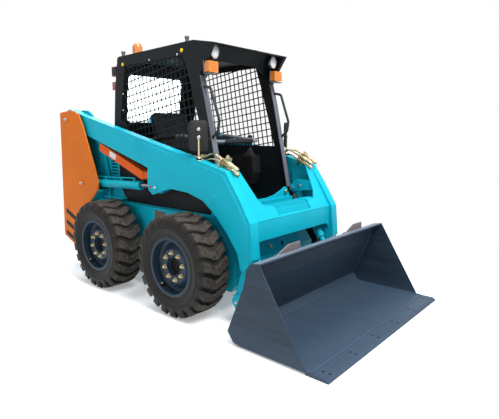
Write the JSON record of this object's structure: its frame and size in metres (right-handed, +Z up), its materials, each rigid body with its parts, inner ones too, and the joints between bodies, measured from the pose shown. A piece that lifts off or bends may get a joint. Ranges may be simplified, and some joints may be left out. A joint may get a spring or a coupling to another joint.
{
  "type": "skid steer loader",
  "caption": "Compact wheeled loader with a mesh-sided cab, radial lift arms on rear towers, hydraulic cylinders, quick coupler and a dirt bucket.",
  "frame": {"origin": "on the ground, under the middle of the overall box", "axes": "+X forward to the bucket, +Y to the machine's left, +Z up"},
  "size_m": [3.314, 1.68, 2.15],
  "materials": {
    "chassis_teal": "satin",
    "body_teal": "gloss",
    "hood_teal": "gloss",
    "door_teal": "gloss",
    "arm_teal": "gloss",
    "cylinder_teal": "gloss",
    "coupler_teal": "gloss",
    "orange_paint": "gloss",
    "strut_orange": "gloss",
    "cab_black": "satin",
    "screen_black": "satin",
    "floor_black": "satin",
    "bucket_slate": "satin",
    "bracket_grey": "satin",
    "rim_slate": "satin",
    "hub_slate": "satin",
    "handle_grey": "satin",
    "engine_iron": "rough",
    "rod_chrome": "polished",
    "zinc_steel": "zinc plated",
    "tyre_rubber": "matt",
    "clear_glass": "clear",
    "lamp_lens": "clear",
    "amber_lens": "gloss",
    "tail_lens": "gloss",
    "mirror_plastic": "matt",
    "lever_plastic": "matt",
    "seat_vinyl": "matt"
  },
  "bodies": {
    "chassis": {"lower_frame": "chassis_teal", "axle_tubes": "chassis_teal", "tower_plates": "orange_paint", "towers": "body_teal", "engine": "engine_iron", "engine_sides": "body_teal", "cab_sides": "cab_black", "side_screen_right": "screen_black", "side_screen_left": "screen_black", "cab_roof": "cab_black", "cab_rear": "cab_black", "rear_window": "clear_glass", "cab_floor": "floor_black", "seat": "seat_vinyl", "lap_bar": "handle_grey", "control_levers": "lever_plastic", "grab_handles": "handle_grey", "headlamps": "lamp_lens", "amber_lamps": "amber_lens", "tail_lamps": "tail_lens"},
    "boom": {"lift_arms": "arm_teal", "arm_crossmember": "arm_teal", "lock_strut": "strut_orange", "mirrors": "mirror_plastic", "auxiliary_couplers": "zinc_steel"},
    "lift_barrels": {"lift_barrels": "cylinder_teal"},
    "lift_rods": {"lift_rods": "rod_chrome"},
    "tilt_barrels": {"tilt_barrels": "cylinder_teal"},
    "tilt_rods": {"tilt_rods": "rod_chrome"},
    "tool": {"quick_coupler": "coupler_teal", "bucket": "bucket_slate", "bucket_brackets": "bracket_grey"},
    "hood": {"hood": "hood_teal"},
    "rear_door": {"rear_door": "door_teal"},
    "wheel_front_right": {"tyre_front_right": "tyre_rubber", "rim_front_right": "rim_slate", "hub_front_right": "hub_slate"},
    "wheel_front_left": {"tyre_front_left": "tyre_rubber", "rim_front_left": "rim_slate", "hub_front_left": "hub_slate"},
    "wheel_rear_right": {"tyre_rear_right": "tyre_rubber", "rim_rear_right": "rim_slate", "hub_rear_right": "hub_slate"},
    "wheel_rear_left": {"tyre_rear_left": "tyre_rubber", "rim_rear_left": "rim_slate", "hub_rear_left": "hub_slate"}
  },
  "joints": [
    {"name": "boom_lift", "type": "hinge", "parent": "chassis", "child": "boom", "pos_m": [-1.466, 0, 1.487], "axis": [0, -1, 0], "range_deg": [0, 62]},
    {"name": "bucket_tilt", "type": "hinge", "parent": "boom", "child": "tool", "pos_m": [0.743, 0, 0.17], "axis": [0, -1, 0], "range_deg": [-100, 20]},
    {"name": "lift_barrel_swing", "type": "hinge", "parent": "chassis", "child": "lift_barrels", "pos_m": [-1.248, 0, 0.881], "axis": [0, -1, 0], "range_deg": [0, 57]},
    {"name": "lift_rod_slide", "type": "slide", "parent": "lift_barrels", "child": "lift_rods", "axis": [0.9992, 0, 0.0408], "range_m": [0, 0.653]},
    {"name": "tilt_barrel_swing", "type": "hinge", "parent": "boom", "child": "tilt_barrels", "pos_m": [0.518, 0, 0.888], "axis": [0, -1, 0], "range_deg": [-8.5, 2]},
    {"name": "tilt_rod_slide", "type": "slide", "parent": "tilt_barrels", "child": "tilt_rods", "axis": [0.5639, 0, -0.8259], "range_m": [-0.074, 0.364]},
    {"name": "rear_door_swing", "type": "hinge", "parent": "chassis", "child": "rear_door", "pos_m": [-1.616, -0.436, 0.87], "axis": [0, 0, 1], "range_deg": [0, 105]},
    {"name": "hood_lift", "type": "hinge", "parent": "chassis", "child": "hood", "pos_m": [-0.935, 0, 1.262], "axis": [0, 1, 0], "range_deg": [0, 65]},
    {"name": "wheel_front_right_spin", "type": "hinge", "parent": "chassis", "child": "wheel_front_right", "pos_m": [0.283, -0.6925, 0.3865], "axis": [0, 1, 0], "continuous": true},
    {"name": "wheel_front_left_spin", "type": "hinge", "parent": "chassis", "child": "wheel_front_left", "pos_m": [0.283, 0.6925, 0.3865], "axis": [0, 1, 0], "continuous": true},
    {"name": "wheel_rear_right_spin", "type": "hinge", "parent": "chassis", "child": "wheel_rear_right", "pos_m": [-0.727, -0.6925, 0.3865], "axis": [0, 1, 0], "continuous": true},
    {"name": "wheel_rear_left_spin", "type": "hinge", "parent": "chassis", "child": "wheel_rear_left", "pos_m": [-0.727, 0.6925, 0.3865], "axis": [0, 1, 0], "continuous": true}
  ],
  "couplings": [
    {"joint": "lift_barrel_swing", "follows": "boom_lift", "ratio": 0.9157},
    {"joint": "lift_rod_slide", "follows": "boom_lift", "m_per_rad": 0.6025},
    {"joint": "tilt_barrel_swing", "follows": "bucket_tilt", "ratio": 0.0845},
    {"joint": "tilt_rod_slide", "follows": "bucket_tilt", "m_per_rad": -0.2082}
  ]
}
